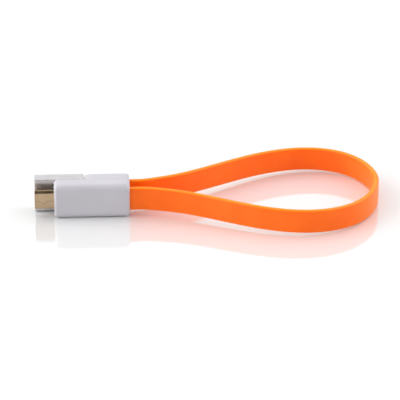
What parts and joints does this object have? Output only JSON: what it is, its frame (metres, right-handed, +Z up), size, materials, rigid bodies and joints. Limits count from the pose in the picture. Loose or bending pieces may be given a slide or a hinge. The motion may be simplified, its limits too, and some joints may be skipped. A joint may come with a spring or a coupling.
{
  "type": "charging cable",
  "caption": "Short flat charging and data cable: a USB-A plug and a micro-USB plug whose housings hold together with magnets, so the cord folds into a loop.",
  "frame": {"origin": "on the resting surface, under the middle of the two plug ends lying side by side", "axes": "+X from the plugs towards the far end of the cord's loop, +Y from the micro-USB end to the USB-A end, +Z up"},
  "size_m": [0.1183, 0.0501, 0.0124],
  "materials": {
    "housing_plastic": "satin moulded",
    "cord_jacket": "smooth soft-touch, slight sheen",
    "steel": "bright nickel-plated steel sheet",
    "gold_plate": "gold-plated, satin",
    "black_plastic": "matte moulded",
    "natural_plastic": "natural moulded",
    "magnet_nickel": "nickel-plated magnet",
    "wire_red": "smooth insulation",
    "wire_white": "smooth insulation",
    "wire_green": "smooth insulation",
    "wire_black": "smooth insulation"
  },
  "bodies": {
    "usb_a_end": {"usb_a_plug_shell": "steel", "usb_a_tongue": "natural_plastic", "usb_a_contact_power": "gold_plate", "usb_a_contact_data_minus": "gold_plate", "usb_a_contact_data_plus": "gold_plate", "usb_a_contact_ground": "gold_plate", "usb_a_housing": "housing_plastic", "usb_a_housing_lid": "housing_plastic", "usb_a_magnet": "magnet_nickel", "usb_a_cord_clamp": "steel", "usb_a_wire_carrier": "natural_plastic", "usb_a_wire_red": "wire_red", "usb_a_wire_white": "wire_white", "usb_a_wire_green": "wire_green", "usb_a_wire_black": "wire_black", "cord_usb_a_side": "cord_jacket"},
    "cord_loop": {"cord_loop_end": "cord_jacket"},
    "micro_usb_end": {"micro_usb_plug_shell": "gold_plate", "micro_usb_insulator": "black_plastic", "micro_usb_contact_power": "gold_plate", "micro_usb_contact_data_minus": "gold_plate", "micro_usb_contact_data_plus": "gold_plate", "micro_usb_contact_identity": "gold_plate", "micro_usb_contact_ground": "gold_plate", "micro_usb_housing": "housing_plastic", "micro_usb_housing_lid": "housing_plastic", "micro_usb_magnet": "magnet_nickel", "micro_usb_cord_clamp": "steel", "micro_usb_wire_carrier": "natural_plastic", "micro_usb_wire_red": "wire_red", "micro_usb_wire_white": "wire_white", "micro_usb_wire_green": "wire_green", "micro_usb_wire_black": "wire_black", "cord_micro_usb_side": "cord_jacket"},
    "latch_upper": {"micro_usb_latch_upper": "steel"},
    "latch_lower": {"micro_usb_latch_lower": "steel"}
  },
  "joints": [
    {"name": "loop_unfold_usb_a_side", "type": "hinge", "parent": "usb_a_end", "child": "cord_loop", "pos_m": [0.09142, 0.02672, 0.0045], "axis": [0, 0, 1], "range_deg": [0, 90]},
    {"name": "loop_unfold_micro_side", "type": "hinge", "parent": "cord_loop", "child": "micro_usb_end", "pos_m": [0.09334, -0.01504, 0.0045], "axis": [0, 0, 1], "range_deg": [0, 90]},
    {"name": "latch_upper_press", "type": "hinge", "parent": "micro_usb_end", "child": "latch_upper", "pos_m": [-0.0079, -0.0021, 0.00865], "axis": [0, 0, 1], "range_deg": [0, 3.5], "stiffness_Nm_per_rad": 0.03},
    {"name": "latch_lower_press", "type": "hinge", "parent": "micro_usb_end", "child": "latch_lower", "pos_m": [-0.0079, -0.0021, 0.00375], "axis": [0, 0, 1], "range_deg": [0, 3.5], "stiffness_Nm_per_rad": 0.03}
  ],
  "couplings": [
    {"joint": "loop_unfold_micro_side", "follows": "loop_unfold_usb_a_side", "ratio": 1}
  ]
}
